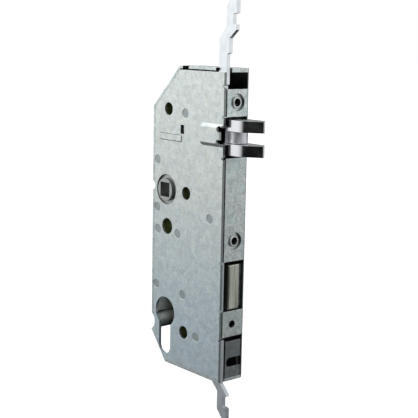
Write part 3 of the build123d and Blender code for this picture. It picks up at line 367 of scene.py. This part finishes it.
MATERIALS = {
    "cover": galvanised_sheet(
        "cover_sheet", (0.665, 0.72, 0.71), (0.73, 0.76, 0.72), 0.16, low_tint=(0.97, 1.05, 1.16)
    ),
    "shell": galvanised_sheet("shell_sheet", (0.60, 0.68, 0.68), (0.70, 0.74, 0.72), 0.30),
    # the bracket's darker sheet is painted shade of the lower recess
    "bracket": galvanised_sheet("shaded_bracket_sheet", (0.22, 0.25, 0.26), (0.28, 0.30, 0.30), 0.20),
    "turned": plain_metal("turned_steel", (0.42, 0.47, 0.47), (0.31, 0.35, 0.35), 0.40),
    "collar": plain_metal("plated_collar", (0.62, 0.65, 0.64), (0.48, 0.50, 0.49), 0.32),
    # the sleeves' dark olive is oil on the metal and painted shade inside the passage holes
    "sleeve": plain_metal("oiled_shaded_sleeve", (0.27, 0.32, 0.13), (0.15, 0.18, 0.08), 0.5),
    "bush": plain_metal("sintered_steel", (0.52, 0.55, 0.54), (0.40, 0.43, 0.42), 0.45, (4, 4, 4)),
    "hardened": plain_metal("hardened_steel", (0.45, 0.47, 0.46), (0.34, 0.36, 0.35), 0.42, (3, 3, 3)),
    "spring": plain_metal("spring_steel", (0.36, 0.36, 0.38), (0.24, 0.24, 0.25), 0.3),
    "bar": plain_metal("zinc_bar", (0.84, 0.87, 0.89), (0.72, 0.76, 0.78), 0.36, (0.8, 0.8, 0.25)),
    # the lower bar's darker zinc is painted shade; it is the same zinc as the upper bar
    "low_bar": plain_metal("shaded_low_zinc_bar", (0.56, 0.60, 0.64), (0.46, 0.50, 0.53), 0.36, (0.8, 0.8, 0.25)),
    "nickel": plain_metal(
        "polished_nickel", (0.80, 0.80, 0.82), (0.72, 0.72, 0.75), 0.18, (0.5, 3, 3), 0.002, 0.3
    ),
    "satin": plain_metal(
        "satin_roller", (0.86, 0.86, 0.90), (0.76, 0.76, 0.81), 0.45, (3, 3, 0.3), 0.003, 0.3
    ),
    "brushed": plain_metal(
        "brushed_nickel", (0.70, 0.73, 0.63), (0.26, 0.28, 0.22), 0.32, (1.1, 1.1, 0.04), 0.02, 1.0
    ),
    "plastic": plain_metal("slide_plastic", (0.03, 0.03, 0.03), (0.02, 0.02, 0.02), 0.5),
}

LOOK_OF = {
    "cover_plate": "cover",
    "case_shell": "shell",
    "lower_bracket": "bracket",
    "bolt_guide": "shell",
    "passage_sleeves": "sleeve",
    "rivet_pillars": "turned",
    "key_axle": "turned",
    "pinion_axle": "turned",
    "pinion_spacer": "turned",
    "bar_guide_posts": "turned",
    "plate_rivets": "turned",
    "rack_rivets": "turned",
    "roller_pin": "turned",
    "latch_guide_rod": "turned",
    "upper_screw_bush": "collar",
    "lower_screw_bush": "collar",
    "near_hub_bush": "bush",
    "far_hub_bush": "bush",
    "follower": "hardened",
    "bolt_gear": "hardened",
    "bar_pinion": "hardened",
    "reversing_pinion": "hardened",
    "spring_seat": "spring",
    "latch_guides": "plastic",
    "latch_fork": "nickel",
    "latch_roller": "satin",
    "latch_tail": "bar",
    "upper_bar": "bar",
    "lower_bar": "low_bar",
    "bolt_rack": "bar",
    "deadbolt": "brushed",
}

for node_name, look in LOOK_OF.items():
    mesh = NODES[node_name].data
    mesh.materials.clear()
    mesh.materials.append(MATERIALS[look])


# ==== coil springs ================================================================================
TURN_STEPS = 24
WIRE_STEPS = 10


def coil_spring(name, start, along, across, length, radius, wire, turns):
    """Compression spring with closed ends, from start along a unit vector.

    Sizes are in mm, and wire is the wire's radius.
    """
    third = along.cross(across)
    steps = int(turns * TURN_STEPS)
    centres = []
    for step in range(steps + 1):
        turn = step / TURN_STEPS
        # one closed coil at each end, an even pitch between them
        free = min(max((turn - 1.0) / (turns - 2.0), 0.0), 1.0)
        closed = min(turn, 1.0) + max(turn - turns + 1.0, 0.0)
        height = wire + closed * 2 * wire + free * (length - 6 * wire)
        angle = 2 * math.pi * turn
        out = across * math.cos(angle) + third * math.sin(angle)
        centres.append((start + along * height + out * radius, out))
    vertices = []
    for centre, out in centres:
        for step in range(WIRE_STEPS):
            angle = 2 * math.pi * step / WIRE_STEPS
            vertices.append((centre + (out * math.cos(angle) + along * math.sin(angle)) * wire) * MM)
    faces = []
    for ring in range(steps):
        for step in range(WIRE_STEPS):
            a = ring * WIRE_STEPS + step
            b = ring * WIRE_STEPS + (step + 1) % WIRE_STEPS
            faces.append((a, b, b + WIRE_STEPS, a + WIRE_STEPS))
    faces.append(tuple(reversed(range(WIRE_STEPS))))
    faces.append(tuple(range(steps * WIRE_STEPS, (steps + 1) * WIRE_STEPS)))
    mesh = bpy.data.meshes.new(name)
    mesh.from_pydata(vertices, [], faces)
    mesh.polygons.foreach_set("use_smooth", [True] * len(faces))
    mesh.materials.append(MATERIALS["spring"])
    spring = bpy.data.objects.new(name, mesh)
    bpy.context.scene.collection.objects.link(spring)
    return spring


# the fixed end of each spring, and the share of its length that is left at the joint's limit
LATCH_SPRING_START = Vector((11.95, 0.0, 34.4))
LATCH_SPRING_LEFT = 0.29
RETURN_SPRING_TOP = Vector((10.8, 4.5, 16.75))
RETURN_SPRING_LEFT = 0.63

latch_coil = coil_spring(
    "latch_spring_coil",
    LATCH_SPRING_START,
    along=Vector((1, 0, 0)),
    across=Vector((0, 1, 0)),
    length=23.2,
    radius=3.1,
    wire=0.4,
    turns=9.0,
)
return_coil = coil_spring(
    "return_spring_coil",
    RETURN_SPRING_TOP,
    along=Vector((0, 0, -1)),
    across=Vector((1, 0, 0)),
    length=18.5,
    radius=1.95,
    wire=0.35,
    turns=10.0,
)
for coil, joint, axis, anchor, keep, node_name in (
    (latch_coil, "latch_slide", (1, 0, 0), LATCH_SPRING_START, LATCH_SPRING_LEFT, "latch_spring"),
    (return_coil, "follower_turn", (0, 0, 1), RETURN_SPRING_TOP, RETURN_SPRING_LEFT, "follower_spring"),
):
    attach(coil, "case")
    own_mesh(coil)
    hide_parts(node_name)


# ==== light =======================================================================================
def direction(azimuth, elevation):
    """Unit vector seen from the object: azimuth 0 is -Y, 90 is +X."""
    a = math.radians(azimuth)
    e = math.radians(elevation)
    return Vector((math.sin(a) * math.cos(e), -math.cos(a) * math.cos(e), math.sin(e)))


# azimuth, elevation, the angles from its middle where it is full and where it ends, strength
SOFT_BOXES = [
    (-60.0, 8.0, 25.0, 75.0, 0.95),
    (127.0, 0.0, 18.0, 52.0, 0.72),
    (0.0, 90.0, 30.0, 70.0, 0.80),
]
AMBIENT = 0.30
# black flags: azimuth, elevation, and the same two angles; a flag lets a little light through
FLAG_LEFT = 0.02
FLAGS = [(22.0, -10.0, 12.0, 24.0), (198.0, -8.0, 16.0, 34.0)]
# the room is darker below: lowest and highest place of the change, and what is left at the lowest
DIM_BELOW = (-0.46, 0.05, 0.16)


def studio_world():
    """Soft boxes on a dim room with black flags; the camera itself sees plain white."""
    world = bpy.data.worlds.new("studio")
    world.use_nodes = True
    graph = Graph(world.node_tree)
    look = graph.add("TexCoord").outputs["Generated"]
    total = AMBIENT
    for azimuth, elevation, full, faded, strength in SOFT_BOXES:
        near = graph.vector_math("DOT_PRODUCT", look, direction(azimuth, elevation), output="Value")
        glow = graph.step(near, math.cos(math.radians(faded)), math.cos(math.radians(full)), 0.0, strength)
        total = graph.math("ADD", total, glow)
    for azimuth, elevation, full, faded in FLAGS:
        near = graph.vector_math("DOT_PRODUCT", look, direction(azimuth, elevation), output="Value")
        flag = graph.step(near, math.cos(math.radians(faded)), math.cos(math.radians(full)), 1.0, FLAG_LEFT)
        total = graph.math("MULTIPLY", total, flag)
    height = graph.parts(look)[2]
    below = graph.step(height, DIM_BELOW[0], DIM_BELOW[1], DIM_BELOW[2], 1.0)
    total = graph.math("MULTIPLY", total, below)
    lit = graph.add("Background", {"Color": (0.97, 0.99, 1.0), "Strength": total})
    white = graph.add("Background", {"Color": (1.0, 1.0, 1.0), "Strength": 1.0})
    seen = graph.add("LightPath").outputs["Is Camera Ray"]
    shader = graph.add("MixShader", {0: seen, 1: lit.outputs[0], 2: white.outputs[0]})
    output = graph.add("OutputWorld")
    graph.put(shader.outputs[0], output.inputs[0])
    return world


bpy.context.scene.world = studio_world()
bpy.context.scene.view_settings.view_transform = "Standard"


# ==== floor =======================================================================================
def pale_floor():
    """A wide pale floor below the lowest place that the lower bar can reach."""
    height = cad_box[0][2] - FLOOR_GAP * MM
    mesh = bpy.data.meshes.new("floor")
    half = FLOOR_SIZE / 2
    corners = [(x * half, y * half, height) for x, y in ((-1, -1), (1, -1), (1, 1), (-1, 1))]
    mesh.from_pydata(corners, [], [(0, 1, 2, 3)])
    floor = bpy.data.objects.new("floor", mesh)
    bpy.context.scene.collection.objects.link(floor)
    material = bpy.data.materials.new("pale_floor")
    material.use_nodes = True
    graph = Graph(material.node_tree)
    inputs = {
        "Base Color": (0.95, 0.95, 0.95),
        "Roughness": 0.8,
        "Emission Color": (1.0, 1.0, 1.0),
        "Emission Strength": FLOOR_GLOW,
    }
    shader = graph.add("BsdfPrincipled", inputs)
    output = graph.add("OutputMaterial")
    graph.put(shader.outputs[0], output.inputs[0])
    mesh.materials.append(material)
    floor.visible_glossy = False


pale_floor()


# ==== camera ======================================================================================
def studio_camera():
    """The camera that the scene is seen through."""
    data = bpy.data.cameras.new("camera")
    camera = bpy.data.objects.new("camera", data)
    bpy.context.scene.collection.objects.link(camera)
    away = direction(CAMERA_AZIMUTH, CAMERA_ELEVATION)
    camera.rotation_mode = "QUATERNION"
    camera.location = CAMERA_PLACE
    aim = (-away).to_track_quat("-Z", "Y")
    camera.rotation_quaternion = aim @ Quaternion((0, 0, 1), CAMERA_ROLL)
    data.lens = LENS
    data.sensor_width = SENSOR
    data.clip_start = 0.01
    data.clip_end = 50.0
    bpy.context.scene.camera = camera


studio_camera()
